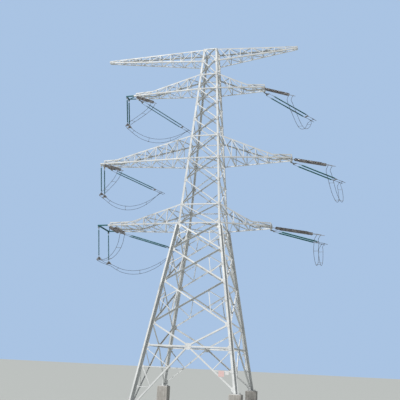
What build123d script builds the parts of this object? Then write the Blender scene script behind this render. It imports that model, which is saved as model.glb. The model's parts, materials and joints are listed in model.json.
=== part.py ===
"""Double-circuit angle tower for an overhead power line, a lattice of galvanised steel angles.

Millimetres, +Z up. The crossarms lie along X, the long ones towards -X, and the line leaves
towards +X on both sides. The origin is on the ground, on the axis of the square body.
"""
from build123d import *
import math
import os

os.makedirs("parts", exist_ok=True)

# Levels of the body above the lowest ground
BASE_RING = 5450
BODY_JOINTS = (7330, 11000, 13940)
WAIST = 16350
CAGE_JOINTS = (18250, 20680, 22930, 25250, 27040, 28770, 30440, 32050, 33620)
CAGE_RINGS = (16350, 18250, 22930, 25250, 30440, 32050, 35040)
TOP = 35040

# Half widths of the square body
BASE_HALF = 3680
WAIST_HALF = 1978
TOP_HALF = 693

# Legs: the front left one stands lowest, the others on taller piers
LOW_FOOT = 300
HIGH_FOOT = 1950
LOW_LEG_RINGS = (3700, 2090)
HIGH_LEG_RINGS = (3610,)

# Angle sections, width and thickness
LEG_WIDTH, LEG_THICK = 200, 18
CAGE_LEG_WIDTH = 180
BODY_BRACE = (125, 10)
CAGE_BRACE = (90, 8)
BODY_RING = (125, 10)
CAGE_RING = (100, 8)
REDUNDANT = (70, 6)
PLAN_BRACE = (75, 6)
PLATE = 14
HEEL_INSET = 95
LEG_CLEAR = 8

# Node plates on the legs and the large plate in the middle of the base ring
NODE_PLATE_IN = 360
NODE_PLATE_HALF = 230
CENTRE_PLATE_HALF = 270

# Base plates and concrete piers
BASE_PLATE = 760
BASE_PLATE_THICK = 40
PIER = 1000

# Crossarms: chord and web sections, and the plates that bolt them to the legs
CHORD = (110, 9)
WEB = (65, 6)
STRUT_SINK = 3
DIAGONAL_SINK = 5
STRUT_STEP = 4
KNEE_LAP = 3
ROOT_PLATE = (175, 360)
LUG = (180, 20)
LUG_DROP = 110
LUG_HOLE = 17

# Crossarms: levels where the lower and upper chords leave the legs, where the strain strings
# hang on, where the upper chord turns level, the far end, and half the width and the depth there
ARMS = {
    "left_upper": dict(side=-1, low=30440, up=32050, hold=7640, knee=6000, tip=8860,
                       tip_half=330, depth=330, rise=0, panels=6),
    "left_middle": dict(side=-1, low=22930, up=25250, hold=10400, knee=9200, tip=10940,
                        tip_half=460, depth=380, rise=120, panels=8),
    "left_lower": dict(side=-1, low=16440, up=18250, hold=8790, knee=6700, tip=10190,
                       tip_half=1276, depth=330, rise=0, panels=6),
    "right_upper": dict(side=1, low=30440, up=32050, hold=5430, knee=3900, tip=5560,
                        tip_half=480, depth=330, rise=0, panels=4),
    "right_middle": dict(side=1, low=22930, up=25250, hold=8100, knee=6500, tip=8230,
                         tip_half=500, depth=360, rise=60, panels=6),
    "right_lower": dict(side=1, low=16440, up=18250, hold=6260, knee=4700, tip=6390,
                        tip_half=600, depth=330, rise=0, panels=4),
    "left_top": dict(side=-1, low=33620, up=34900, hold=None, knee=10900, tip=11130,
                     tip_half=170, depth=260, rise=1020, panels=9),
    "right_top": dict(side=1, low=33620, up=34900, hold=None, knee=8500, tip=8740,
                      tip_half=170, depth=260, rise=1020, panels=7),
}

# Strain strings: heading of each one from the arms' axis, its slope, and their parts
HEADINGS = {
    "rear": {"left_upper": 42, "left_middle": 42, "left_lower": 42,
             "right_upper": 42, "right_middle": 42, "right_lower": 42},
    "front": {"left_upper": -52, "left_middle": -52, "left_lower": -57,
              "right_upper": -55, "right_middle": -50, "right_lower": -41},
}
SLOPES = {
    "rear": {"left_upper": 19, "left_middle": 14, "left_lower": 8,
             "right_upper": 13, "right_middle": 7, "right_lower": 4},
    "front": {"left_upper": 28, "left_middle": 21, "left_lower": 17,
              "right_upper": 30, "right_middle": 22, "right_lower": 15},
}
PIN = 16.5
CHEEK = (90, 14)
YOKE_THICK = 18
STRING_GAP = 250
WIRE_GAP = 200
LINK_LENGTH = 330
YOKE_DEPTH = 170
YOKE_EDGE = 40
INSULATOR_START = 1100
INSULATOR_LENGTH = 4080
STRAIN_LENGTH = 6600
ROD_SHED_R = 75
DISC_PITCH = 170
DISC_R = 135
CAP_R = 50
FITTING_R = 22
CLAMP_R = 24
WIRE_R = 17
BORE_CLEAR = 0.5
BORE_DEPTH = 160
TERMINAL_AT = 6180
TERMINAL_LENGTH = 170

# Strings that hold the jumper loops off the long arms
HANG_SHED_R = 75
HANG_START = 260
HANG_SHEDS = 2500
HANG_PLATE_AT = 2880
HANG_LENGTH = 3180
HANG_LEAN = 6
WEIGHT_R = 95

# Jumper wires, two to a phase: the points that the middle of each pair follows, from the front
# string to the rear one. A left pair is held under two plates, which come between its lists. Behind
# them it turns up to PAIR_TURN degrees on edge, with its outer wire below the inner one.
STUB_RUN = 300
PAIR_TURN = 60
JUMPERS = {
    "left_upper": (
        [(-4850, -4040, 27010), (-5180, -3720, 26970), (-5510, -3400, 26955), (-5845, -3075, 26950),
         (-6180, -2750, 26955), (-6515, -2420, 26965), (-6850, -2090, 26980), (-7185, -1755, 27000),
         (-7520, -1420, 27020), (-7800, -1130, 27042), (-8040, -860, 27060), (-8240, -570, 27078)],
        [(-8436, 0, 27083)],
        [(-8215, 545, 26945), (-8020, 710, 26790), (-7770, 920, 26645), (-7490, 1155, 26520),
         (-7190, 1410, 26420),
         (-6840, 1680, 26355), (-6485, 1940, 26335), (-6130, 2200, 26360), (-5780, 2450, 26435),
         (-5440, 2695, 26550), (-5105, 2930, 26705), (-4780, 3165, 26895), (-4460, 3390, 27115),
         (-4155, 3615, 27365), (-3855, 3835, 27645)]),
    "left_middle": (
        [(-7360, -4365, 20195), (-7650, -4010, 20085), (-7945, -3660, 20005), (-8235, -3305, 19945),
         (-8530, -2955, 19895), (-8825, -2605, 19855), (-9120, -2250, 19820), (-9415, -1900, 19790),
         (-9705, -1545, 19760), (-9930, -1255, 19741), (-10140, -965, 19725), (-10310, -700, 19713)],
        [(-10530, 0, 19690)],
        [(-10290, 690, 19535), (-10100, 875, 19385), (-9880, 1100, 19255), (-9630, 1345, 19155),
         (-9350, 1600, 19083),
         (-9045, 1870, 19050), (-8715, 2145, 19075), (-8395, 2415, 19145), (-8080, 2680, 19270),
         (-7770, 2935, 19435), (-7470, 3185, 19640), (-7185, 3420, 19880), (-6915, 3645, 20145),
         (-6665, 3860, 20425), (-6420, 4065, 20730)]),
    "left_lower": (
        [(-5915, -5640, 13985), (-6060, -5390, 13830), (-6230, -5130, 13670), (-6415, -4855, 13525),
         (-6625, -4570, 13385), (-6860, -4270, 13255), (-7120, -3960, 13135), (-7410, -3640, 13030),
         (-7725, -3310, 12945), (-8055, -2980, 12895), (-8390, -2660, 12880), (-8710, -2360, 12895),
         (-8985, -2090, 12930), (-9240, -1840, 12978), (-9520, -1535, 13043)],
        [(-9800, -800, 13080), (-9820, -400, 13070), (-9825, 0, 13068), (-9820, 400, 13070),
         (-9800, 800, 13080)],
        [(-9500, 1507, 13020), (-9245, 1725, 12865), (-8975, 1950, 12730), (-8675, 2190, 12620),
         (-8340, 2440, 12565), (-7980, 2700, 12550), (-7600, 2960, 12585), (-7230, 3210, 12670),
         (-6865, 3450, 12795), (-6515, 3680, 12965), (-6200, 3895, 13160), (-5895, 4100, 13370),
         (-5605, 4290, 13600), (-5335, 4465, 13850), (-5105, 4630, 14105), (-4895, 4785, 14345),
         (-4715, 4928, 14585), (-4580, 5075, 14815)]),
    "right_upper": (
        [(8350, -4190, 26800), (8435, -3850, 26630), (8520, -3480, 26480), (8610, -3100, 26340),
         (8695, -2700, 26215), (8775, -2285, 26105), (8850, -1840, 26025), (8925, -1380, 25980),
         (9000, -920, 25965), (9075, -465, 25995), (9150, -10, 26075), (9225, 440, 26200),
         (9295, 885, 26360), (9360, 1315, 26545), (9420, 1740, 26755), (9475, 2150, 26980),
         (9525, 2540, 27220), (9565, 2910, 27470), (9600, 3275, 27730), (9625, 3600, 27975),
         (9645, 3890, 28210), (9655, 4060, 28355)],),
    "right_middle": (
        [(11630, -4295, 20025), (11720, -3950, 19760), (11790, -3620, 19530), (11855, -3285, 19315),
         (11925, -2940, 19115), (11995, -2570, 18940), (12075, -2150, 18795), (12160, -1700, 18690),
         (12245, -1235, 18625), (12325, -765, 18610), (12395, -305, 18645), (12455, 150, 18730),
         (12505, 595, 18850), (12545, 1030, 19005), (12580, 1445, 19190), (12605, 1835, 19400),
         (12620, 2210, 19635), (12628, 2565, 19895), (12625, 2895, 20170), (12610, 3215, 20465),
         (12585, 3520, 20770), (12550, 3835, 21105), (12505, 4140, 21430)],),
    "right_lower": (
        [(10555, -4120, 14075), (10510, -3790, 13865), (10480, -3440, 13670), (10468, -3070, 13490),
         (10472, -2690, 13325), (10485, -2300, 13175), (10502, -1900, 13045), (10525, -1480, 12940),
         (10548, -1060, 12875), (10568, -640, 12855), (10588, -210, 12875), (10608, 220, 12940),
         (10625, 650, 13045), (10642, 1080, 13190), (10655, 1500, 13365), (10665, 1910, 13565),
         (10672, 2310, 13785), (10674, 2700, 14020), (10672, 3060, 14260), (10668, 3390, 14500),
         (10662, 3700, 14745), (10656, 4000, 14995), (10650, 4290, 15240)],),
}

# Plan bracing and sign plates
PLAN_LEVELS = {"base": BASE_RING, "waist": WAIST + 100, "middle": 22930, "upper": 30440}
SIGNS = ((2950, 460), (3420, 290))
SIGN_THICK = 4

CAGE_SLOPE = (WAIST_HALF - TOP_HALF) / (TOP - WAIST)
BODY_SLOPE = (BASE_HALF - WAIST_HALF) / (WAIST - BASE_RING)

# Corners: which way each leg lies, its foot and ring levels, and its side of the two faces it stands in
CORNERS = {
    "front_left": (-1, -1, LOW_FOOT, LOW_LEG_RINGS, {"front": -1, "left": 1}),
    "front_right": (1, -1, HIGH_FOOT, HIGH_LEG_RINGS, {"front": 1, "right": -1}),
    "rear_right": (1, 1, HIGH_FOOT, HIGH_LEG_RINGS, {"right": 1, "rear": -1}),
    "rear_left": (-1, 1, HIGH_FOOT, HIGH_LEG_RINGS, {"rear": 1, "left": -1}),
}
FACES = {"front": 0, "right": 90, "rear": 180, "left": 270}

NODES = {}


def half_width(z):
    """Half width of the square body at height z, measured to the heels of the legs."""
    if z >= WAIST:
        return WAIST_HALF - CAGE_SLOPE * (z - WAIST)
    return WAIST_HALF + BODY_SLOPE * (WAIST - z)


def prism(points, run):
    """A solid swept in a straight line from a flat outline."""
    return Solid.extrude(Face(Wire.make_polygon(points, close=True)), run)


def angle_bar(start, end, flat, stand, section):
    """An L section from start to end, heel on that line, one flange along flat, one along stand."""
    width, thick = section
    along = (end - start).normalized()
    a = (flat - along * flat.dot(along)).normalized()
    b = along.cross(a)
    if b.dot(stand) < 0:
        b = b * -1
    outline = [
        start, start + a * width, start + a * width + b * thick,
        start + a * thick + b * thick, start + a * thick + b * width, start + b * width,
    ]
    return prism(outline, end - start)


def join(pieces):
    """One solid from pieces that touch or overlap."""
    return pieces[0].fuse(*pieces[1:])


def leg(name, sx, sy, foot):
    """A leg: two angles back to back below the waist, a single angle above it, and its base plate."""
    w, t, c = LEG_WIDTH, LEG_THICK, CAGE_LEG_WIDTH
    cross = [
        (t, t), (t, w), (0, w), (0, t), (-t, t), (-t, 0), (-w, 0), (-w, -t),
        (-t, -t), (-t, -w), (0, -w), (0, -t), (t, -t), (t, 0), (w, 0), (w, t),
    ]
    single = [(0, 0), (-c, 0), (-c, -t), (-t, -t), (-t, -c), (0, -c)]

    def stretch(section, z0, z1):
        """The section carried up the slope of the corner from z0 to z1."""
        h0, h1 = half_width(z0), half_width(z1)
        corner = Vector(sx * h0, sy * h0, z0)
        run = Vector(sx * (h1 - h0), sy * (h1 - h0), z1 - z0)
        return prism([corner + Vector(sx * x, sy * y, 0) for x, y in section], run)

    foot_half = half_width(foot)
    plate = Pos(sx * foot_half, sy * foot_half, foot - BASE_PLATE_THICK / 2) * Box(
        BASE_PLATE, BASE_PLATE, BASE_PLATE_THICK)
    NODES["leg_" + name] = join([
        stretch(cross, foot, WAIST), stretch(single, WAIST, TOP), plate.solid()])


def pier(name, sx, sy, foot):
    """A square concrete pier from the lowest ground up to the base plate."""
    top = foot - BASE_PLATE_THICK
    h = half_width(foot)
    NODES["pier_" + name] = Pos(sx * h, sy * h, top / 2) * Box(PIER, PIER, top)


class FacePlane:
    """The flat plane of one body face, with X across it, Y up its slope and Z outwards."""

    def __init__(self, floor, slope):
        self.floor = floor
        self.stretch = math.hypot(1, slope)
        self.slope = slope
        half = half_width(floor)
        outward = Vector(0, -1, slope).normalized()
        self.plane = Plane(origin=(0, -half, floor), x_dir=(1, 0, 0), z_dir=outward)

    def up(self, z):
        """Distance up the slope of a level."""
        return (z - self.floor) * self.stretch

    def bar(self, start, end, section, outer=False, middle=0.5):
        """A bar between two points of the face, (x, level), behind or in front of the plates."""
        p = Vector(start[0], self.up(start[1]))
        q = Vector(end[0], self.up(end[1]))
        if q.Y < p.Y or (q.Y == p.Y and q.X < p.X):
            p, q = q, p
        along = (q - p).normalized()
        side = Vector(-along.Y, along.X)
        if side.Y < 0 or (side.Y == 0 and side.X > 0):
            side = side * -1
        width = section[0]
        if outer:
            lift = Vector(0, 0, PLATE)
            heel = side * (width * middle) + lift
            return angle_bar(p + heel, q + heel, side * -1, Vector(0, 0, 1), section)
        heel = side * (-width * middle)
        return angle_bar(p + heel, q + heel, side, Vector(0, 0, -1), section)

    def plate(self, outline):
        """A plate on the outside of the legs, from points (x, distance up the slope)."""
        return prism([Vector(x, y) for x, y in outline], Vector(0, 0, PLATE))

    def node_plate(self, side, z, reach=NODE_PLATE_IN, tall=NODE_PLATE_HALF):
        """The plate that joins the braces to a leg."""
        y = self.up(z)
        points = []
        for dy, inset in ((-tall, LEG_THICK + 4), (tall, LEG_THICK + 4), (tall, reach * 0.6),
                          (tall * 0.4, reach), (-tall * 0.4, reach), (-tall, reach * 0.6)):
            level = z + dy / self.stretch
            points.append((side * (half_width(level) - inset), y + dy))
        return self.plate(points if side < 0 else points[::-1])

    def place(self, solid, turn):
        """The solid moved from the face's plane to one side of the tower."""
        return solid.moved(self.plane.location).moved(Location((0, 0, 0), (0, 0, turn)))


def pulled_in(face, point, toward, width, leg_width):
    """A bar's end moved along the bar until both its corners clear the flange of the leg beside it."""
    x, z = point
    side = math.copysign(1, x)
    run = math.hypot(toward[0] - x, toward[1] - z)
    ux, uz = (toward[0] - x) / run, (toward[1] - z) / run
    room = half_width(z) - leg_width - side * x
    travel = max((LEG_CLEAR - room + face.slope * turn * ux - side * turn * uz) /
                 (-face.slope * uz - side * ux) for turn in (-width / 2, width / 2))
    return x + ux * travel, z + uz * travel


def crossed_panel(face, z0, z1, section, leg_width):
    """An X of two diagonals between two levels: the one rising to the left lies behind the other."""
    h0, h1 = half_width(z0), half_width(z1)
    bars = []
    for side in (-1, 1):
        top, low = (side * (h1 - HEEL_INSET), z1), (-side * (h0 - HEEL_INSET), z0)
        bars.append((pulled_in(face, top, low, section[0], leg_width),
                     pulled_in(face, low, top, section[0], leg_width)))
    back, front = bars
    share = h0 / (h0 + h1)
    crossing = face.up(z0 + (z1 - z0) * share)
    pad = section[0] * 0.6
    washer = face.plate([(-pad, crossing - pad), (pad, crossing - pad),
                         (pad, crossing + pad), (-pad, crossing + pad)])
    return [face.bar(*back, section), face.bar(*front, section, outer=True), washer]


def ring_bar(face, z, section, leg_width):
    """A horizontal between the legs."""
    x = half_width(z)
    x, z = pulled_in(face, (x, z), (0, z), section[0], leg_width)
    return face.bar((-x, z), (x, z), section)


def cage_face():
    """One side of the upper body, from the waist to the top."""
    face = FacePlane(WAIST, CAGE_SLOPE)
    levels = (WAIST,) + CAGE_JOINTS + (TOP,)
    pieces = []
    for z0, z1 in zip(levels, levels[1:]):
        pieces += crossed_panel(face, z0, z1, CAGE_BRACE, CAGE_LEG_WIDTH)
    for z in CAGE_RINGS:
        drop = CAGE_RING[0] / 2 if z == TOP else -CAGE_RING[0] if z == WAIST else 0
        pieces.append(ring_bar(face, z - drop, CAGE_RING, CAGE_LEG_WIDTH))
    for z in levels:
        tall = NODE_PLATE_HALF * 0.8
        shift = -tall if z == TOP else tall if z == WAIST else 0
        for side in (-1, 1):
            pieces.append(face.node_plate(side, z + shift, NODE_PLATE_IN * 0.9, tall - 4))
    return face, join(pieces)


def body_face():
    """One side of the lower body, from the base ring to the waist."""
    face = FacePlane(BASE_RING, BODY_SLOPE)
    levels = BODY_JOINTS + (WAIST,)
    pieces = []
    for z0, z1 in zip(levels, levels[1:]):
        pieces += crossed_panel(face, z0, z1, BODY_BRACE, LEG_WIDTH)
    low = BODY_JOINTS[0]
    for side in (-1, 1):
        middle = (side * 130, BASE_RING + 150)
        corner = (side * (half_width(low) - HEEL_INSET), low)
        pieces.append(face.bar(middle, pulled_in(face, corner, middle, BODY_BRACE[0], LEG_WIDTH),
                               BODY_BRACE))
        for level in levels[:-1]:
            pieces.append(face.node_plate(side, level))
        pieces.append(face.node_plate(side, WAIST - NODE_PLATE_HALF - 4))
        pieces.append(face.node_plate(side, BASE_RING, tall=NODE_PLATE_HALF * 0.9))
    pieces.append(ring_bar(face, BASE_RING, BODY_RING, LEG_WIDTH))
    c = CENTRE_PLATE_HALF
    pieces.append(face.plate([(-c, -c * 0.5), (-c * 0.5, -c), (c * 0.5, -c), (c, -c * 0.5),
                              (c, c * 0.5), (c * 0.5, c), (-c * 0.5, c), (-c, c * 0.5)]))
    for z0, z1 in zip(levels, levels[1:]):
        pieces += redundants(face, z0, z1)
    return face, join(pieces)


def redundants(face, z0, z1):
    """The short bars that steady the legs inside one X panel."""
    pieces = []
    h0, h1 = half_width(z0), half_width(z1)
    share = h0 / (h0 + h1)
    middle = z0 + (z1 - z0) * share
    for side in (-1, 1):
        corner = (side * (half_width(middle) - LEG_WIDTH), middle)
        for z_end, h_end in ((z0, h0), (z1, h1)):
            quarter = (side * h_end / 2, (z_end + middle) / 2)
            end = pulled_in(face, corner, quarter, REDUNDANT[0], LEG_WIDTH)
            pieces.append(face.bar(end, quarter, REDUNDANT, outer=(side > 0) == (z_end == z1)))
        pieces.append(face.bar((side * h0 / 2, (z0 + middle) / 2 + 60),
                               (side * h1 / 2, (z1 + middle) / 2 - 60), REDUNDANT))
        pieces.append(face.node_plate(side, middle, NODE_PLATE_IN * 0.8, NODE_PLATE_HALF * 0.4))
    return pieces


def leg_bracing(foot, rings, side):
    """The braces of one leg below the base ring, on one face: the strut to the centre plate and ties."""
    face = FacePlane(BASE_RING, BODY_SLOPE)
    foot_z = foot + 300
    top_x, top_z = 150, BASE_RING - 118
    foot_x = half_width(foot_z) - LEG_WIDTH - LEG_CLEAR

    def on_strut(z):
        """The point of the strut at a level."""
        return side * (top_x + (foot_x - top_x) * (top_z - z) / (top_z - foot_z)), z

    top = (side * top_x, top_z)
    pieces = [face.bar(top, pulled_in(face, (side * foot_x, foot_z), top, BODY_BRACE[0], LEG_WIDTH),
                       BODY_BRACE)]
    levels = (BASE_RING - 330,) + rings
    for above, z in zip(levels, rings):
        for level, end in ((z, on_strut(z)), (above, on_strut(z + 60))):
            corner = (side * (half_width(level) - LEG_WIDTH), level)
            start = pulled_in(face, corner, end, REDUNDANT[0], LEG_WIDTH)
            pieces.append(face.bar(start, end, REDUNDANT))
        pieces.append(face.node_plate(side, z, NODE_PLATE_IN, NODE_PLATE_HALF * 0.5))
    pieces.append(face.node_plate(side, foot_z, NODE_PLATE_IN, NODE_PLATE_HALF))
    pieces.append(face.node_plate(side, levels[0] - 20, NODE_PLATE_IN, NODE_PLATE_HALF * 0.38))
    return face, join(pieces)


def arm_half(spec, x):
    """Half the distance between the lower chords of an arm at x."""
    root = half_width(spec["low"]) - 20
    share = (x - half_width(spec["low"])) / (spec["tip"] - half_width(spec["low"]))
    return root + (spec["tip_half"] - root) * share


def low_chord(spec, x, row):
    """Point on the heel of a lower chord, row -1 at the front and 1 at the rear."""
    start = half_width(spec["low"])
    share = (x - start) / (spec["tip"] - start)
    z = spec["low"] - CHORD[0] / 2 + spec["rise"] * share
    return Vector(spec["side"] * x, row * arm_half(spec, x), z)


def up_chord(spec, x, row):
    """Point on the heel of an upper chord: it slopes down to the knee and runs level after it."""
    knee = low_chord(spec, spec["knee"], row) + Vector(0, 0, spec["depth"])
    start_x = half_width(spec["up"])
    start = Vector(spec["side"] * start_x, row * (start_x - 20), spec["up"] + CHORD[0] / 2)
    if x <= spec["knee"]:
        return start + (knee - start) * ((x - start_x) / (spec["knee"] - start_x))
    return low_chord(spec, x, row) + Vector(0, 0, spec["depth"])


def crossarm(name, spec):
    """A box truss of four chords that bolts to two legs, with lugs for its insulator strings."""
    side = spec["side"]
    end_x = spec["tip"] if spec["hold"] is None else spec["hold"] + 130
    start_x = half_width(spec["low"])
    up, down = Vector(0, 0, 1), Vector(0, 0, -1)
    pieces = []
    for row in (-1, 1):
        inward = Vector(0, -row, 0)
        pieces.append(angle_bar(low_chord(spec, start_x - 40, row), low_chord(spec, spec["tip"], row),
                                up, inward, CHORD))
        pieces.append(angle_bar(up_chord(spec, half_width(spec["up"]) - 40, row),
                                up_chord(spec, spec["knee"], row), down, inward, CHORD))
        lap = (inward + down) * KNEE_LAP
        pieces.append(angle_bar(up_chord(spec, spec["knee"] - 60, row) + lap,
                                up_chord(spec, end_x, row) + lap, down, inward, CHORD))
    count = spec["panels"]
    stations = [start_x + (end_x - 60 - start_x) * i / count for i in range(1, count + 1)]
    sink = CHORD[1] - STRUT_SINK
    deep = CHORD[1] - DIAGONAL_SINK
    near, far = 25, 42
    inner = start_x + 180
    for i, x in enumerate(stations):
        last = stations[i - 1] if i else inner
        for row in (-1, 1):
            inward = Vector(0, -row, 0)
            low, high = low_chord(spec, x, row), up_chord(spec, x, row)
            shift = inward * sink
            pieces.append(angle_bar(low + up * near + shift, high - up * near + shift,
                                    Vector(side, 0, 0), inward, WEB))
            if (high - low).Z > 2 * CHORD[0]:
                before = up_chord(spec, last, row)
                shift = inward * deep
                pieces.append(angle_bar(low + up * near + shift, before - up * near * 2 + shift,
                                        Vector(side, 0, 0), inward, WEB))
        rows = (-1, 1) if i % 2 else (1, -1)
        for chord, rise in ((low_chord, up), (up_chord, down)):
            a, b = chord(spec, x, -1), chord(spec, x, 1)
            lift = rise * sink + Vector(side * STRUT_STEP, 0, 0)
            across = Vector(0, near, 0)
            pieces.append(angle_bar(a + lift + across, b + lift - across, Vector(-side, 0, 0), rise, WEB))
            if arm_half(spec, x) > 2 * CHORD[0]:
                a, b = chord(spec, last, rows[0]), chord(spec, x, rows[1])
                lift = rise * deep
                pieces.append(angle_bar(a + lift - Vector(0, rows[0] * far, 0),
                                        b + lift - Vector(0, rows[1] * far, 0),
                                        Vector(-side, 0, 0), rise, WEB))
    if spec["tip"] > end_x + 100:
        x = spec["tip"] - CHORD[0]
        a, b = low_chord(spec, x, -1), low_chord(spec, x, 1)
        lift = up * sink
        pieces.append(angle_bar(a + lift, b + lift, Vector(side, 0, 0), up, (CHORD[0], CHORD[1])))
        before = low_chord(spec, stations[-1], -1)
        lift = up * deep
        pieces.append(angle_bar(before + lift + Vector(0, near, 0), b + lift - Vector(0, near, 0),
                                Vector(-side, 0, 0), up, WEB))
    else:
        x = spec["tip"] - 12
        a, b = low_chord(spec, x, -1), up_chord(spec, x, 1)
        pieces.append(Pos((a.X + b.X) / 2, 0, (a.Z + b.Z) / 2) * Box(24, b.Y - a.Y, b.Z - a.Z).solid())
    if spec["hold"]:
        for row in (-1, 1):
            pieces.append(lug(hold_point(name, row), HEADINGS["rear" if row > 0 else "front"][name]))
            if side < 0:
                pieces.append(lug(hang_point(name, row), 0))
    face = Plane(origin=(side * half_width(spec["low"]), 0, spec["low"]),
                 x_dir=(0, side, 0), z_dir=Vector(side, 0, CAGE_SLOPE).normalized())
    body = Box(4000, 6000, 9000, align=(Align.CENTER, Align.CENTER, Align.MAX)).solid()
    solid = join(pieces) - body.moved(face * Pos(0, 0, PLATE))
    plates = []
    wide, tall = ROOT_PLATE
    lowest = WAIST + tall / 2 + LEG_CLEAR
    for level in (max(spec["low"], lowest), spec["up"] - (tall / 2 - 110 if spec["hold"] is None else 0)):
        half = half_width(level)
        y = (level - spec["low"]) * math.hypot(1, CAGE_SLOPE)
        for row in (-1, 1):
            centre = Pos(row * (half - wide / 2), y, PLATE * 1.5)
            plates.append((face * centre * Box(wide, tall, PLATE)).solid())
    NODES["crossarm_" + name] = solid.solid().fuse(*plates)


def lug(point, heading):
    """An upright plate under a chord with a hole for a string's pin."""
    long, thick = LUG
    tall = LUG_DROP + long * 0.4
    plate = Pos(0, 0, LUG_DROP + 4 - tall / 2) * Box(long, thick, tall)
    hole = Rot(90, 0, 0) * Cylinder(LUG_HOLE, thick * 2)
    return (Pos(*point) * Rot(0, 0, heading) * (plate - hole)).solid()


def hold_point(name, row):
    """Where a strain string's pin goes through its lug."""
    spec = ARMS[name]
    heel = low_chord(spec, spec["hold"], row)
    return Vector(heel.X, heel.Y - row * CHORD[0] / 2, heel.Z - LUG_DROP)


def hang_point(name, row):
    """Where a hanging string's pin goes through its lug, at the end of a long arm."""
    spec = ARMS[name]
    heel = low_chord(spec, spec["tip"] - CHORD[0], row)
    return Vector(heel.X, heel.Y - row * CHORD[0] / 2, heel.Z - LUG_DROP)


def hang_frame(name, row):
    """The place of a hanging string, which the jumper wires pull over towards the body."""
    return Location(tuple(hang_point(name, row)), (0, -HANG_LEAN, 0))


def turned(outline):
    """A round body about X from points (x, radius)."""
    return revolve(Face(Wire.make_polygon([Vector(x, r) for x, r in outline], close=True)), Axis.X).solid()


def rod(start, end, radius):
    """A round bar between two points."""
    start, end = Vector(*start), Vector(*end)
    run = end - start
    return (Plane(origin=start, z_dir=run.normalized()) * Cylinder(
        radius, run.length, align=(Align.CENTER, Align.CENTER, Align.MIN))).solid()


def clevis(reach):
    """Two cheeks and a pin that straddle a lug."""
    tall, thick = CHEEK
    gap = LUG[1] / 2 + 0.5
    pieces = [rod((0, -gap - thick - 12, 0), (0, gap + thick + 12, 0), PIN - 0.5)]
    for s in (-1, 1):
        y = s * (gap + thick / 2)
        pieces.append((Pos(reach / 2 - 25, y, 0) * Box(reach + 50, thick, tall)).solid())
    return pieces


def flat_plate(points, thick):
    """A level plate about z = 0 from points (x, y)."""
    return prism([Vector(x, y, -thick / 2) for x, y in points], Vector(0, 0, thick))


def strain_string(discs):
    """A double strain string along X from its pin: link, yoke, two insulators, yoke, two clamps."""
    start, end = INSULATOR_START, INSULATOR_START + INSULATOR_LENGTH
    head, tail = LINK_LENGTH + YOKE_DEPTH, end + YOKE_DEPTH
    wide, narrow = STRING_GAP + YOKE_EDGE, WIRE_GAP + YOKE_EDGE
    g, w = STRING_GAP, WIRE_GAP
    pieces = clevis(LINK_LENGTH)
    pieces.append(flat_plate([(LINK_LENGTH - 110, -45), (head - YOKE_EDGE, -wide), (head, -wide),
                              (head, wide), (head - YOKE_EDGE, wide), (LINK_LENGTH - 110, 45)],
                             YOKE_THICK))
    pieces.append(flat_plate([(tail, -wide), (tail + YOKE_EDGE, -wide), (tail + YOKE_DEPTH, -narrow),
                              (tail + YOKE_DEPTH, narrow), (tail + YOKE_EDGE, wide), (tail, wide)],
                             YOKE_THICK))
    count = round(INSULATOR_LENGTH / DISC_PITCH)
    for s in (-1, 1):
        if discs:
            outline = [(start, 0)]
            for i in range(count):
                x = start + i * DISC_PITCH
                outline += [(x, CAP_R), (x + DISC_PITCH * 0.45, CAP_R), (x + DISC_PITCH * 0.75, DISC_R),
                            (x + DISC_PITCH * 0.9, DISC_R)]
            outline += [(end, CAP_R), (end, 0)]
            body = turned(outline)
        else:
            body = rod((start, 0, 0), (end, 0, 0), ROD_SHED_R)
        pieces.append(body.moved(Location((0, s * g, 0))))
        pieces.append(rod((head - 20, s * g, 0), (start + 5, s * g, 0), FITTING_R))
        pieces.append(rod((end - 5, s * g, 0), (tail + 20, s * g, 0), FITTING_R))
        tube = rod((tail + YOKE_DEPTH - 20, s * w, 0), (STRAIN_LENGTH, s * w, 0), CLAMP_R)
        bore = rod((STRAIN_LENGTH - BORE_DEPTH, s * w, 0), (STRAIN_LENGTH + 10, s * w, 0),
                   WIRE_R + BORE_CLEAR)
        pieces.append((tube - bore).solid())
        tip = terminal(s)
        pieces.append(rod((TERMINAL_AT, s * w, 0), tip, CLAMP_R - 2))
    return join(pieces)


def terminal(s):
    """End of the stub on a strain clamp where a jumper wire begins, in the string's own axes."""
    return Vector(TERMINAL_AT - TERMINAL_LENGTH * 0.5, s * WIRE_GAP, -TERMINAL_LENGTH * 0.87)


def string_plane(name, line):
    """The frame of a strain string: X along it, Y level across it."""
    row = 1 if line == "rear" else -1
    slope = math.radians(SLOPES[line][name])
    heading = math.radians(HEADINGS[line][name])
    level = math.cos(slope)
    along = Vector(math.cos(heading) * level, math.sin(heading) * level, -math.sin(slope))
    across = Vector(-math.sin(heading), math.cos(heading), 0)
    return Plane(origin=hold_point(name, row), x_dir=along, z_dir=along.cross(across))


def hanging_string():
    """A string that hangs from its pin at the origin, with a plate for the two jumper wires."""
    drop = -HANG_PLATE_AT
    pieces = [p.moved(Location((0, 0, 0), (0, 90, 0))) for p in clevis(160)]
    pieces.append(rod((0, 0, -130), (0, 0, -HANG_START - 5), FITTING_R))
    pieces.append(rod((0, 0, -HANG_START), (0, 0, -HANG_START - HANG_SHEDS), HANG_SHED_R))
    pieces.append(rod((0, 0, -HANG_START - HANG_SHEDS + 5), (0, 0, drop - 20), FITTING_R))
    w = WIRE_GAP
    outline = [(0, drop + 30), (-w - 40, -HANG_LENGTH + 90), (-w - 40, -HANG_LENGTH), (w + 40, -HANG_LENGTH),
               (w + 40, -HANG_LENGTH + 90)]
    pieces.append(prism([Vector(x, -9, z) for x, z in outline], Vector(0, 18, 0)))
    for z in (drop - 60, drop - 130):
        pieces.append(rod((0, 0, z), (0, 0, z - 45), WEIGHT_R))
    return join(pieces)


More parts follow.
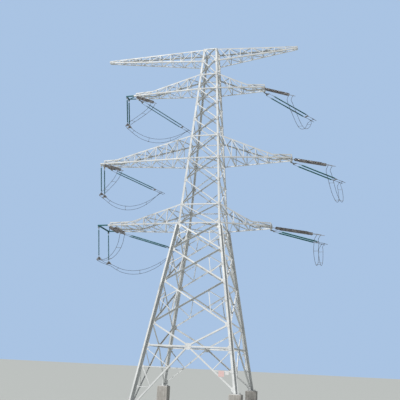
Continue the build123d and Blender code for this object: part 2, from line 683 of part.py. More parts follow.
def wire_end(name, line, side):
    """Where a jumper wire leaves its clamp, and the next point straight out of the clamp's stub."""
    place = string_plane(name, line)
    tip = terminal(side if line == "rear" else -side)
    out = (tip - Vector(TERMINAL_AT, tip.Y, 0)).normalized() * STUB_RUN
    return place.from_local_coords(tip), place.from_local_coords(tip + out)


def under_plate(name, row, side):
    """The middle of a jumper wire where it lies under a hanging string's plate."""
    spot = Vector(-side * WIRE_GAP, 0, -HANG_LENGTH - WIRE_R - 1)
    return Plane(hang_frame(name, row)).from_local_coords(spot)


def jumper_points(name, side):
    """The route of one wire of a pair: side 1 runs on the left of the pair's middle, -1 on the right.

    Behind the plates of a long arm the pair turns on edge and back again.
    """
    def whole(s):
        """The route with its ends and its places under the plates moved to side s."""
        first, second = wire_end(name, "front", s)
        last, before = wire_end(name, "rear", s)
        points = [first, second]
        for i, part in enumerate(JUMPERS[name]):
            if i:
                points.append(under_plate(name, -1 if i == 1 else 1, s))
            points += [Vector(*p) for p in part]
        return points + [before, last]

    middle, own = whole(0), whole(side)
    fixed = [i for i, (a, b) in enumerate(zip(middle, own)) if (a - b).length > 1]
    held = max(fixed[:-2])
    route = []
    for i, point in enumerate(own):
        if i in fixed:
            route.append(point)
            continue
        run = middle[i + 1] - middle[i - 1]
        level = Vector(-run.Y, run.X, 0).normalized()
        behind = (i - held) / (len(own) - 2 - held)
        on_edge = ARMS[name]["side"] < 0 < behind
        turn = math.radians(PAIR_TURN) * math.sin(math.pi * behind) if on_edge else 0
        route.append(point + (level * math.cos(turn) - Vector(0, 0, math.sin(turn))) * (side * WIRE_GAP))
    return route


def corner_radii(points):
    """The largest arc that each corner of a route has room for."""
    radii = []
    for a, b, c in zip(points, points[1:], points[2:]):
        turn = math.radians((b - a).get_angle(c - b))
        radii.append(0.45 * min((b - a).length, (c - b).length) / math.tan(turn / 2))
    return radii


def jumpers():
    """The wires that carry each phase past the tower, two side by side."""
    for name in JUMPERS:
        for word, side in (("outer", 1), ("inner", -1)):
            points = jumper_points(name, side)
            radii = corner_radii(points)
            runs = [(b - a).length for a, b in zip(points, points[1:])]
            path = FilletPolyline(*points, radius=radii)
            start = Plane(origin=points[0], z_dir=points[1] - points[0])
            wire = sweep(start * Circle(WIRE_R), path=path)
            error = wire.volume / (math.pi * WIRE_R ** 2 * path.length) - 1
            print(f"jumper_{name}_{word}: length {path.length:.0f}, least radius {min(radii):.0f},",
                  f"runs {min(runs):.0f} to {max(runs):.0f}, volume off by {error:.4f}")
            NODES[f"jumper_{name}_{word}"] = wire.solid()


def plan_bracing(z, ring):
    """Four bars that join the middles of the rings on the four faces."""
    low = z - ring[0] / 2 + ring[1] + 10
    tall = PLAN_BRACE[0]
    slope = BODY_SLOPE if z < WAIST else CAGE_SLOPE
    inner = half_width(low) - ring[1] * math.hypot(1, slope)
    space = extrude(Pos(0, 0, low) * Rectangle(2 * inner, 2 * inner), amount=tall,
                    taper=math.degrees(math.atan(slope))).solid()
    bars = []
    for sx, sy in ((1, 1), (1, -1), (-1, -1), (-1, 1)):
        a, b = Vector(sx * (inner + 60), -sy * 60, low), Vector(-sx * 60, sy * (inner + 60), low)
        bars.append(angle_bar(a, b, Vector(-sx, -sy, 0), Vector(0, 0, 1), PLAN_BRACE))
    return join(bars) & space


def sign_plates():
    """Two blank plates on the tie of the front right leg."""
    face = FacePlane(BASE_RING, BODY_SLOPE)
    level = face.up(HIGH_LEG_RINGS[0])
    solids = []
    for x, size in SIGNS:
        low, high, half = level - size + 30, level + 30, size / 2
        outline = [(x - half, low), (x + half, low), (x + half, high), (x - half, high)]
        plate = prism([Vector(*point) for point in outline], Vector(0, 0, SIGN_THICK))
        solids.append(face.place(plate, 0))
    NODES["sign_plates"] = solids


def insulators():
    """Every strain and hanging string, set on its lug."""
    rod_string, disc_string, hanging = strain_string(False), strain_string(True), hanging_string()
    for name, spec in ARMS.items():
        if spec["hold"] is None:
            continue
        NODES["rod_strings_" + name] = rod_string.moved(string_plane(name, "rear").location)
        NODES["disc_strings_" + name] = disc_string.moved(string_plane(name, "front").location)
        if spec["side"] < 0:
            NODES["hanging_strings_" + name] = [
                hanging.moved(hang_frame(name, row)) for row in (-1, 1)]


def main():
    for name, (sx, sy, foot, rings, sides) in CORNERS.items():
        leg(name, sx, sy, foot)
        pier(name, sx, sy, foot)
    for build, word in ((body_face, "body"), (cage_face, "cage")):
        face, solid = build()
        for name, turn in FACES.items():
            NODES[word + "_face_" + name] = face.place(solid, turn)
    for name, (sx, sy, foot, rings, sides) in CORNERS.items():
        NODES["leg_bracing_" + name] = []
        for face_name, side in sides.items():
            face, solid = leg_bracing(foot, rings, side)
            NODES["leg_bracing_" + name].append(face.place(solid, FACES[face_name]))
    for name, spec in ARMS.items():
        crossarm(name, spec)
    insulators()
    jumpers()
    for name, z in PLAN_LEVELS.items():
        ring = BODY_RING if z < WAIST else CAGE_RING
        NODES["plan_bracing_" + name] = plan_bracing(z, ring)
    sign_plates()
    for name, shape in NODES.items():
        whole = Compound(children=shape) if isinstance(shape, list) else shape
        export_step(whole, f"parts/{name}.step", write_pcurves=False)
        print(name)


main()
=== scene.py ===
# %% [markdown]
# # A lattice tower for an overhead power line
# This lesson dresses a finished CAD model of a steel angle tower. The tower is an open frame of
# rolled steel angles that carries two circuits, with three phases on each side. The CAD model
# already has every bar at its real size, so Blender adds what a CAD solid leaves out: the sheds of
# the insulators, the fittings, the wires between the strings, bolts, and the finish of each metal.
# Loading comes first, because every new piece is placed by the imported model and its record.

# %% Load the frame
import json
import math
import bpy
import numpy as np
from mathutils import Matrix


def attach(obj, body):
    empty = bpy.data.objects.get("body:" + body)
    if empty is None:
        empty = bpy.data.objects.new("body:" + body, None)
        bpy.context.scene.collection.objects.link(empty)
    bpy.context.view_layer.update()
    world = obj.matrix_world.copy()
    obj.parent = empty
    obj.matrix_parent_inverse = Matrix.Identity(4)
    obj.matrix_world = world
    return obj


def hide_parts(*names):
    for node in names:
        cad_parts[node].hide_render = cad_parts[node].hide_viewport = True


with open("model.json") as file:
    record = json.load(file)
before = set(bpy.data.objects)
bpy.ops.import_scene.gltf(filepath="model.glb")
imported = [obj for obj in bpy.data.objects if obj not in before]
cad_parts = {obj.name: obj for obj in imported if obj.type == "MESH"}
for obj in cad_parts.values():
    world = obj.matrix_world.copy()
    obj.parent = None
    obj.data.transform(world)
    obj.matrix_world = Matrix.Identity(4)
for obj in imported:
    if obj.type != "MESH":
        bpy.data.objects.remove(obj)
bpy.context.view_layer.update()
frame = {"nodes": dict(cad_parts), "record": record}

# %% [markdown]
# ## The camera
# The picture is taken from low ground, about fifty metres away, with the camera tilted up and
# turned a little to the left. A camera could be aimed with a constraint, but three angles written
# as a matrix are easier to check: the columns are the picture's right, its up, and the way back.

# %% Set the camera
def new_object(name, data):
    """An object with this data, linked to the scene."""
    made = bpy.data.objects.new(name, data)
    bpy.context.scene.collection.objects.link(made)
    return made


def placing(x_axis, y_axis, z_axis, origin=(0, 0, 0)):
    """A 4 by 4 matrix whose columns are three axes and an origin."""
    place = np.eye(4)
    place[:3, :3] = np.column_stack([x_axis, y_axis, z_axis])
    place[:3, 3] = origin
    return place


YAW, PITCH, ROLL = (math.radians(a) for a in (14.016, 15.953, 2.784))
EYE = np.array([12.241, -51.021, 4.122])
LENS, SENSOR, FAR_CLIP = 51.435, 36.0, 2000

look = np.array([-math.sin(YAW) * math.cos(PITCH), math.cos(YAW) * math.cos(PITCH), math.sin(PITCH)])
level_right = np.array([math.cos(YAW), math.sin(YAW), 0.0])
level_up = np.cross(level_right, look)
right = math.cos(ROLL) * level_right + math.sin(ROLL) * level_up
up = -math.sin(ROLL) * level_right + math.cos(ROLL) * level_up
camera = new_object("camera", bpy.data.cameras.new("camera"))
camera.data.lens, camera.data.sensor_width, camera.data.clip_end = LENS, SENSOR, FAR_CLIP
camera.matrix_world = Matrix(placing(right, up, -look, EYE).tolist())
bpy.context.scene.camera = camera
print("camera:", EYE.round(2).tolist())

# %% [markdown]
# ## Where each string hangs
# A strain string runs from its lug on a crossarm to two clamps that grip the line. The record of
# the model holds the hole of one clamp of every string, with its place and direction. Everything
# else follows from it by counting back along the string, so no string is placed by eye. Each
# string gets a matrix whose X runs along it, whose Y is level across it, and whose Z is its top.

# %% Read the strings' places
MM = 0.001
STRING_LENGTH, BORE_DEPTH, WIRE_GAP = 6.6, 0.16, 0.2
PHASES = ("left_upper", "left_middle", "left_lower", "right_upper", "right_middle", "right_lower")


def unit(vectors):
    """Vectors divided by their lengths, along the last axis."""
    return vectors / np.linalg.norm(vectors, axis=-1, keepdims=True)


mounts = {m["name"]: m for m in frame["record"]["mounts"]}
STRINGS = {}
for phase in PHASES:
    for line, side in (("front", -1), ("rear", 1)):
        hole = mounts[f"{line}_conductor_{phase}"]
        along = unit(np.array(hole["axis"], float))
        across = unit(np.cross([0, 0, 1], along))
        pin = np.array(hole["pos_m"]) - along * (STRING_LENGTH - BORE_DEPTH / 2) - across * side * WIRE_GAP
        STRINGS[line, phase] = placing(along, across, np.cross(along, across), pin)
print("first pin:", STRINGS["rear", "left_upper"][:3, 3].round(3).tolist())

# %% [markdown]
# The long arms also carry hanging strings, two to an arm. They hold the slack wires away from the
# steel, and the wires pull them a few degrees towards the body. Their pins are written here as
# they are in the CAD model, and each matrix keeps Z along the string with that lean in it.

# %% Place the hanging strings
HANG_LENGTH = 3.18
LEAN = math.radians(6)
HANG_PINS = {"left_upper": (-8.750, 0.28424, 30.275), "left_middle": (-10.830, 0.41722, 22.8836),
             "left_lower": (-10.080, 1.23005, 16.275)}
HANGERS = {}
for phase, (x, y, z) in HANG_PINS.items():
    for row in (-1, 1):
        HANGERS[phase, row] = placing((math.cos(LEAN), 0, math.sin(LEAN)), (0, 1, 0),
                                      (-math.sin(LEAN), 0, math.cos(LEAN)), (x, row * y, z))

# %% [markdown]
# ## The slack wires
# On the real tower each phase is carried past the body by two stranded wires, which leave the
# stubs of the front clamps, sag, and rise to the rear clamps. On the long side they also run under
# the plates of the hanging strings. The points below are the same ones that the CAD model follows:
# the middle of each pair, in millimetres. A NURBS spline with these control points gives one
# smooth line with no kinks. Each wire of a pair keeps its distance from the middle on a level, but
# behind the hanging strings the pair turns up to 60 degrees on edge, with its outer wire below.

# %% Type in the routes
STUB_RUN = 0.3
PAIR_TURN = math.radians(60)
WIRE_RADIUS = 0.017
STUB_AT, STUB_LENGTH = 6.18, 0.17
STUB_BACK, STUB_DOWN = STUB_LENGTH * 0.5, STUB_LENGTH * 0.87
ROUTES = {
    "left_upper": (
        [(-4850, -4040, 27010), (-5180, -3720, 26970), (-5510, -3400, 26955), (-5845, -3075, 26950),
         (-6180, -2750, 26955), (-6515, -2420, 26965), (-6850, -2090, 26980), (-7185, -1755, 27000),
         (-7520, -1420, 27020), (-7800, -1130, 27042), (-8040, -860, 27060), (-8240, -570, 27078)],
        [(-8436, 0, 27083)],
        [(-8215, 545, 26945), (-8020, 710, 26790), (-7770, 920, 26645), (-7490, 1155, 26520),
         (-7190, 1410, 26420), (-6840, 1680, 26355), (-6485, 1940, 26335), (-6130, 2200, 26360),
         (-5780, 2450, 26435), (-5440, 2695, 26550), (-5105, 2930, 26705), (-4780, 3165, 26895),
         (-4460, 3390, 27115), (-4155, 3615, 27365), (-3855, 3835, 27645)]),
    "left_middle": (
        [(-7360, -4365, 20195), (-7650, -4010, 20085), (-7945, -3660, 20005), (-8235, -3305, 19945),
         (-8530, -2955, 19895), (-8825, -2605, 19855), (-9120, -2250, 19820), (-9415, -1900, 19790),
         (-9705, -1545, 19760), (-9930, -1255, 19741), (-10140, -965, 19725), (-10310, -700, 19713)],
        [(-10530, 0, 19690)],
        [(-10290, 690, 19535), (-10100, 875, 19385), (-9880, 1100, 19255), (-9630, 1345, 19155),
         (-9350, 1600, 19083), (-9045, 1870, 19050), (-8715, 2145, 19075), (-8395, 2415, 19145),
         (-8080, 2680, 19270), (-7770, 2935, 19435), (-7470, 3185, 19640), (-7185, 3420, 19880),
         (-6915, 3645, 20145), (-6665, 3860, 20425), (-6420, 4065, 20730)]),
    "left_lower": (
        [(-5915, -5640, 13985), (-6060, -5390, 13830), (-6230, -5130, 13670), (-6415, -4855, 13525),
         (-6625, -4570, 13385), (-6860, -4270, 13255), (-7120, -3960, 13135), (-7410, -3640, 13030),
         (-7725, -3310, 12945), (-8055, -2980, 12895), (-8390, -2660, 12880), (-8710, -2360, 12895),
         (-8985, -2090, 12930), (-9240, -1840, 12978), (-9520, -1535, 13043)],
        [(-9800, -800, 13080), (-9820, -400, 13070), (-9825, 0, 13068), (-9820, 400, 13070),
         (-9800, 800, 13080)],
        [(-9500, 1507, 13020), (-9245, 1725, 12865), (-8975, 1950, 12730), (-8675, 2190, 12620),
         (-8340, 2440, 12565), (-7980, 2700, 12550), (-7600, 2960, 12585), (-7230, 3210, 12670),
         (-6865, 3450, 12795), (-6515, 3680, 12965), (-6200, 3895, 13160), (-5895, 4100, 13370),
         (-5605, 4290, 13600), (-5335, 4465, 13850), (-5105, 4630, 14105), (-4895, 4785, 14345),
         (-4715, 4928, 14585), (-4580, 5075, 14815)]),
    "right_upper": (
        [(8350, -4190, 26800), (8435, -3850, 26630), (8520, -3480, 26480), (8610, -3100, 26340),
         (8695, -2700, 26215), (8775, -2285, 26105), (8850, -1840, 26025), (8925, -1380, 25980),
         (9000, -920, 25965), (9075, -465, 25995), (9150, -10, 26075), (9225, 440, 26200),
         (9295, 885, 26360), (9360, 1315, 26545), (9420, 1740, 26755), (9475, 2150, 26980),
         (9525, 2540, 27220), (9565, 2910, 27470), (9600, 3275, 27730), (9625, 3600, 27975),
         (9645, 3890, 28210), (9655, 4060, 28355)],),
    "right_middle": (
        [(11630, -4295, 20025), (11720, -3950, 19760), (11790, -3620, 19530), (11855, -3285, 19315),
         (11925, -2940, 19115), (11995, -2570, 18940), (12075, -2150, 18795), (12160, -1700, 18690),
         (12245, -1235, 18625), (12325, -765, 18610), (12395, -305, 18645), (12455, 150, 18730),
         (12505, 595, 18850), (12545, 1030, 19005), (12580, 1445, 19190), (12605, 1835, 19400),
         (12620, 2210, 19635), (12628, 2565, 19895), (12625, 2895, 20170), (12610, 3215, 20465),
         (12585, 3520, 20770), (12550, 3835, 21105), (12505, 4140, 21430)],),
    "right_lower": (
        [(10555, -4120, 14075), (10510, -3790, 13865), (10480, -3440, 13670), (10468, -3070, 13490),
         (10472, -2690, 13325), (10485, -2300, 13175), (10502, -1900, 13045), (10525, -1480, 12940),
         (10548, -1060, 12875), (10568, -640, 12855), (10588, -210, 12875), (10608, 220, 12940),
         (10625, 650, 13045), (10642, 1080, 13190), (10655, 1500, 13365), (10665, 1910, 13565),
         (10672, 2310, 13785), (10674, 2700, 14020), (10672, 3060, 14260), (10668, 3390, 14500),
         (10662, 3700, 14745), (10656, 4000, 14995), (10650, 4290, 15240)],),
}
print("phases:", len(ROUTES), "typed points:", sum(len(part) for r in ROUTES.values() for part in r))


# %% Work out one wire's control points
def at(place, x, y, z):
    """The point (x, y, z) of a placing, in metres."""
    return (place @ [x, y, z, 1.0])[:3]


def wire_end(phase, line, side):
    """The tip of a clamp's stub, and a point STUB_RUN straight out of it."""
    y = (side if line == "rear" else -side) * WIRE_GAP
    further = 1 + STUB_RUN / math.hypot(STUB_BACK, STUB_DOWN)
    return [at(STRINGS[line, phase], STUB_AT - STUB_BACK * n, y, -STUB_DOWN * n) for n in (1, further)]


def wire_points(phase, side):
    """Control points of one wire. Side 1 keeps WIRE_GAP to the left of the middle line, -1 to its
    right, 0 is the middle: p + side * gap * n, with n square to the chord of p's neighbours. It is
    level, and turns down by PAIR_TURN * sin(pi * share) behind the last plate of a left pair."""
    def route(s):
        """The whole route with its ends and its places under the plates on side s."""
        first, second = wire_end(phase, "front", s)
        last, before = wire_end(phase, "rear", s)
        points, fixed = [first, second], [True, True]
        for i, part in enumerate(ROUTES[phase]):
            if i:
                plate = HANGERS[phase, -1 if i == 1 else 1]
                points.append(at(plate, -s * WIRE_GAP, 0, -HANG_LENGTH - WIRE_RADIUS - MM))
                fixed.append(True)
            points += [np.array(p) * MM for p in part]
            fixed += [False] * len(part)
        return np.array(points + [before, last]), np.array(fixed + [True, True])

    middle = route(0)[0]
    points, fixed = route(side)
    chord = np.zeros_like(middle)
    chord[1:-1] = middle[2:] - middle[:-2]
    normal = np.column_stack([-chord[:, 1], chord[:, 0], np.zeros(len(chord))])
    normal /= np.maximum(np.linalg.norm(normal, axis=1), 1e-9)[:, None]
    if phase in HANG_PINS:
        held = np.flatnonzero(fixed)[-3]
        behind = np.clip((np.arange(len(points)) - held) / (len(points) - 2 - held), 0, 1)
        turn = (PAIR_TURN * np.sin(np.pi * behind))[:, None]
        normal = normal * np.cos(turn) - np.array([0, 0, 1]) * np.sin(turn)
    return points + np.where(fixed[:, None], 0, normal * side * WIRE_GAP)


print("right upper, first points:", wire_points("right_upper", 1)[:2].round(3).tolist())

# %% [markdown]
# A curve object is the natural form of a wire: it keeps the spline, and its bevel gives it a round
# section. Its points carry the wire's radius and the bevel is one metre deep, so that the box of the
# curve stays true. Order 3 is set after the points, because Blender drops it before.
# Each wire's cut length is printed beside the length of its drawn line, so its sag can be checked.

# %% Hang the wires
WIRE_LENGTHS = {"left_upper": (13.98, 13.15), "left_middle": (13.95, 13.11), "left_lower": (17.53, 16.71),
                "right_upper": (10.56, 10.16), "right_middle": (11.29, 10.96),
                "right_lower": (10.78, 10.40)}
WIRES = {}


def nurbs_line(name, points):
    """A curve with one open NURBS spline of order 3 through its first and last control points."""
    data = bpy.data.curves.new(name, "CURVE")
    data.dimensions = "3D"
    data.resolution_u = 6
    spline = data.splines.new("NURBS")
    spline.points.add(len(points) - 1)
    spline.points.foreach_set("co", np.column_stack([points, np.ones(len(points))]).ravel())
    spline.points.foreach_set("radius", np.full(len(points), WIRE_RADIUS))
    spline.order_u = 3
    spline.use_endpoint_u = True
    return new_object(name, data)


def traced(curve):
    """Points along a curve's own line, read from Blender's spline with no bevel."""
    mesh = bpy.data.meshes.new_from_object(curve.evaluated_get(bpy.context.evaluated_depsgraph_get()))
    points = np.empty(len(mesh.vertices) * 3)
    mesh.vertices.foreach_get("co", points)
    bpy.data.meshes.remove(mesh)
    return points.reshape(-1, 3)


def run_along(line):
    """How far each point of a line lies from its start, along the line."""
    return np.concatenate([[0], np.cumsum(np.linalg.norm(np.diff(line, axis=0), axis=1))])


LINES_OF = {}
for phase in PHASES:
    for word, side, length in zip(("outer", "inner"), (1, -1), WIRE_LENGTHS[phase]):
        wire = nurbs_line(f"wire_{phase}_{word}", wire_points(phase, side))
        line = LINES_OF[phase, word] = traced(wire)
        wire.data.bevel_depth = 1.0
        wire.data.bevel_resolution = 2
        wire.data.use_fill_caps = True
        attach(wire, "root")
        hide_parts(f"jumper_{phase}_{word}")
        tuple(wire_points(phase, side)[0])
        WIRES[phase, word] = wire
        print(wire.name, "cut", length, "drawn", round(run_along(line)[-1], 2))

# %% [markdown]
# ## Shapes as arrays
# Most fittings are turned, bent or cut from plate, so three kinds of surface make nearly all of
# them: a profile turned round an axis, a flat outline with a thickness, and a ring of points
# carried along a path. Each one is worked out as whole arrays. A shape is kept as three arrays,
# its points, the corners of its faces in one long row, and how many corners each face has, so
# hundreds of bolts can be copied and joined without a loop over their points.

# %% Define shapes
TAU = 2 * math.pi
SHARP_ANGLE = math.radians(30)


def rings_shape(rings):
    """A closed skin over rings of equal counts: quads between neighbours, one face over each end."""
    count, around = rings.shape[:2]
    i, j = np.meshgrid(np.arange(count - 1), np.arange(around), indexing="ij")
    k = (j + 1) % around
    quads = np.stack([i * around + j, i * around + k, (i + 1) * around + k, (i + 1) * around + j], -1)
    first, last = np.arange(around)[::-1], (count - 1) * around + np.arange(around)
    corners = np.concatenate([quads.ravel(), first, last])
    sizes = np.concatenate([np.full(quads.shape[0] * quads.shape[1], 4), [around, around]])
    return outward((rings.reshape(-1, 3), corners, sizes))


def outward(shape):
    """The shape, its faces turned over if its volume, the sum of a . (b x c) / 6, is negative."""
    points, corners, sizes = shape
    starts = np.cumsum(sizes) - sizes
    volume = 0.0
    for size in np.unique(sizes):
        faces = corners[starts[sizes == size][:, None] + np.arange(size)]
        a = points[faces[:, 0]]
        for n in range(1, size - 1):
            volume += np.einsum("ij,ij->", a, np.cross(points[faces[:, n]], points[faces[:, n + 1]]))
    return (points, corners[::-1], sizes[::-1]) if volume < 0 else shape


def turned(profile, around):
    """A profile of (x, radius) turned round X: (x, r cos t, r sin t)."""
    x, r = np.array(profile, float).T
    t = TAU * np.arange(around) / around
    return rings_shape(np.stack(np.broadcast_arrays(x[:, None], r[:, None] * np.cos(t),
                                                    r[:, None] * np.sin(t)), -1))


def mirrored(edge):
    """A closed outline from the corners (x, y) of one edge: along it at -y, and back at y."""
    return [(x, -y) for x, y in edge] + edge[::-1]


def cut_plate(outline, thick):
    """A flat outline (x, y) with its thickness shared above and below z = 0."""
    flat = np.array(outline, float)
    return rings_shape(np.stack([np.column_stack([flat, np.full(len(flat), z)])
                                 for z in (-thick / 2, thick / 2)]))


def rounded(outline, radius, steps=4):
    """An outline with each corner replaced by an arc: points p + r (cos, sin) about a centre that
    lies on the corner's bisector, r / sin(half angle) from the corner."""
    flat, made = np.array(outline, float), []
    for a, b, c in zip(np.roll(flat, 1, 0), flat, np.roll(flat, -1, 0)):
        u, v = unit(a - b), unit(c - b)
        half = math.acos(np.clip(u @ v, -1, 1)) / 2
        centre = b + unit(u + v) * radius / math.sin(half)
        p, q = (b + way * radius / math.tan(half) - centre for way in (u, v))
        share = np.linspace(0, 1, steps)[:, None]
        made.append(centre + unit(p * (1 - share) + q * share) * radius)
    return np.concatenate(made)


def swept(path, radius, around):
    """A round bar along a path: at each point a ring r (n cos t + m sin t), square to the path."""
    path = np.array(path, float)
    run = unit(np.gradient(path, axis=0))
    spare = np.where(np.abs(run[:1] @ [0, 0, 1]) > 0.9, [[1.0, 0, 0]], [[0, 0, 1.0]])
    n = unit(np.cross(run, spare))
    m = np.cross(run, n)
    t = TAU * np.arange(around) / around
    ring = np.cos(t)[None, :, None] * n[:, None] + np.sin(t)[None, :, None] * m[:, None]
    return rings_shape(path[:, None] + np.broadcast_to(radius, len(path))[:, None, None] * ring)


def placed(shape, *places):
    """The shape moved by one or more 4 by 4 matrices, the last one applied first."""
    points, corners, sizes = shape
    whole = np.eye(4)
    for place in places:
        whole = whole @ place
    return points @ whole[:3, :3].T + whole[:3, 3], corners, sizes


def shift(x=0.0, y=0.0, z=0.0):
    """A matrix that only moves."""
    return placing((1, 0, 0), (0, 1, 0), (0, 0, 1), (x, y, z))


def joined(shapes):
    """Many shapes as one: their corners are counted on from each other."""
    points, corners, sizes = zip(*shapes)
    offsets = np.cumsum([0] + [len(p) for p in points])
    return (np.concatenate(points), np.concatenate([c + n for c, n in zip(corners, offsets)]),
            np.concatenate(sizes))


def repeated(shape, places):
    """One shape at many matrices at once, as (places x points) arrays."""
    points, corners, sizes = shape
    places = np.array(places)
    moved = np.einsum("nij,pj->npi", places[:, :3, :3], points) + places[:, None, :3, 3]
    rows = np.arange(len(places))[:, None] * len(points) + corners
    return moved.reshape(-1, 3), rows.ravel(), np.tile(sizes, len(places))


def piece(name, shape, material, replaces=()):
    """A mesh that rides on the tower, smooth but for edges over SHARP_ANGLE."""
    points, corners, sizes = shape
    mesh = bpy.data.meshes.new(name)
    mesh.vertices.add(len(points))
    mesh.vertices.foreach_set("co", points.astype(np.float32).ravel())
    mesh.loops.add(len(corners))
    mesh.loops.foreach_set("vertex_index", corners.astype(np.int32))
    mesh.polygons.add(len(sizes))
    mesh.polygons.foreach_set("loop_start", (np.cumsum(sizes) - sizes).astype(np.int32))
    mesh.polygons.foreach_set("use_smooth", np.ones(len(sizes), bool))
    mesh.update(calc_edges=True)
    mesh.set_sharp_from_angle(angle=SHARP_ANGLE)
    made = new_object(name, mesh)
    mesh.materials.append(material)
    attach(made, "root")
    if replaces:
        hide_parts(*replaces)
    print(name, "faces:", len(sizes))
    return made


print("a ring of 12:", len(turned([(0, 0.1), (1, 0.1)], 12)[2]), "faces")

# %% [markdown]
# ## Effects that several finishes share
# Weather shows on every surface here: patches a metre or so wide that have dulled unevenly, and
# runs of dirt down steep faces. Both could be painted by hand, but a node group gives them to each
# material with its own strength. The group gives one mask and one height, and the materials decide
# what to do with them. On the porcelain the pale patches of the mask are painted highlights.
# Two smaller groups draw the crystals of zinc and the strands of a wire.

# %% Build the node groups
def group(name, inputs, outputs):
    """An empty node group with float inputs, given with their defaults, and float outputs."""
    tree = bpy.data.node_groups.new(name, "ShaderNodeTree")
    for way, labels in (("INPUT", inputs), ("OUTPUT", outputs)):
        for label in labels:
            socket = tree.interface.new_socket(label, in_out=way, socket_type="NodeSocketFloat")
            if way == "INPUT":
                socket.default_value = inputs[label]
    return tree, tree.nodes.new("NodeGroupInput").outputs, tree.nodes.new("NodeGroupOutput").inputs


def tune(node, **values):
    """Set a node's properties and sockets by name, with an underscore for each space."""
    for key, value in values.items():
        if key in node.bl_rna.properties:
            setattr(node, key, value)
        else:
            node.inputs[key.replace("_", " ")].default_value = value
    return node


def add(tree, kind, links=(), **values):
    """A node with some sockets set by name and some linked from (output socket, input name)."""
    node = tune(tree.nodes.new(kind), **values)
    for source, target in links:
        tree.links.new(source, node.inputs[target])
    return node


def maths(tree, operation, *values):
    """The result of a math node whose inputs are output sockets or numbers."""
    node = add(tree, "ShaderNodeMath", operation=operation)
    for value, socket in zip(values, node.inputs):
        if isinstance(value, float):
            socket.default_value = value
        else:
            tree.links.new(value, socket)
    return node.outputs[0]


def object_place(tree):
    """Object coordinates in a node tree."""
    return add(tree, "ShaderNodeTexCoord").outputs["Object"]


def weather_group():
    """Mask: noise patches plus streaks stretched along Z, shared by Streaks. Height: fine noise."""
    tree, given, result = group("weather_and_highlights", {"Patch Scale": 1.0, "Streaks": 0.4, "Grain Scale": 60.0},
                                ("Mask", "Height"))
    place = object_place(tree)
    patches = add(tree, "ShaderNodeTexNoise", [(place, "Vector"), (given["Patch Scale"], "Scale")],
                  Detail=5.0, Roughness=0.6)
    squeezed = add(tree, "ShaderNodeMapping", [(place, "Vector")], Scale=(9.0, 9.0, 0.7))
    streaks = add(tree, "ShaderNodeTexNoise", [(squeezed.outputs["Vector"], "Vector")], Scale=1.3,
                  Detail=4.0)
    mixed = add(tree, "ShaderNodeMix", [(given["Streaks"], 0), (patches.outputs["Fac"], 2),
                                        (streaks.outputs["Fac"], 3)])
    mask = add(tree, "ShaderNodeMapRange", [(mixed.outputs[0], "Value")], From_Min=0.36, From_Max=0.66)
    grain = add(tree, "ShaderNodeTexNoise", [(place, "Vector"), (given["Grain Scale"], "Scale")],
                Detail=3.0)
    tree.links.new(mask.outputs["Result"], result["Mask"])
    tree.links.new(grain.outputs["Fac"], result["Height"])
    return tree


def spangle_group():
    """Crystals of cast zinc: Voronoi cells in Object coordinates, each with one random grey value."""
    tree, given, result = group("spangle", {"Cells": 45.0}, ("Value",))
    cells = add(tree, "ShaderNodeTexVoronoi", [(object_place(tree), "Vector"), (given["Cells"], "Scale")])
    value = add(tree, "ShaderNodeSeparateColor", [(cells.outputs["Color"], "Color")])
    tree.links.new(value.outputs["Red"], result["Value"])
    return tree


def strand_group():
    """Strands of a cable from its own UV: height = |sin(pi (Strands v + Turns u))|."""
    tree, given, result = group("strands", {"Strands": 12.0, "Turns": 40.0}, ("Height",))
    uv = add(tree, "ShaderNodeTexCoord").outputs["UV"]
    u, v = add(tree, "ShaderNodeSeparateXYZ", [(uv, "Vector")]).outputs[:2]
    phase = maths(tree, "MULTIPLY_ADD", v, given["Strands"], maths(tree, "MULTIPLY", u, given["Turns"]))
    wave = maths(tree, "SINE", maths(tree, "MULTIPLY", phase, math.pi))
    tree.links.new(maths(tree, "ABSOLUTE", wave), result["Height"])
    return tree


WEATHER, SPANGLE, STRAND = weather_group(), spangle_group(), strand_group()
print("groups:", [tree.name for tree in (WEATHER, SPANGLE, STRAND)])

# %% [markdown]
# ## The finishes
# The steel is hot-dip galvanised and has weathered to a pale, dull grey with a faint pattern of
# crystals. The rods have sheds of teal silicone rubber, and the discs are grey-brown porcelain
# under iron caps; pale patches on the discs are painted highlights. A bare metallic shader would
# mirror the room and look like chrome, so the zinc is only part metallic and rough, with each
# colour varying between a clean and a weathered one.
# The last metre of two long arms is dark teal like the strings that hang there: their material
# compares the X of Object coordinates with where that end starts.

# %% Mix the materials
TEAL = (0.02, 0.13, 0.15)
BUMP_STRENGTH = 0.4


def blank_material(name):
    """A new material, and its Principled shader."""
    material = bpy.data.materials.new(name)
    material.use_nodes = True
    return material, material.node_tree.nodes["Principled BSDF"]


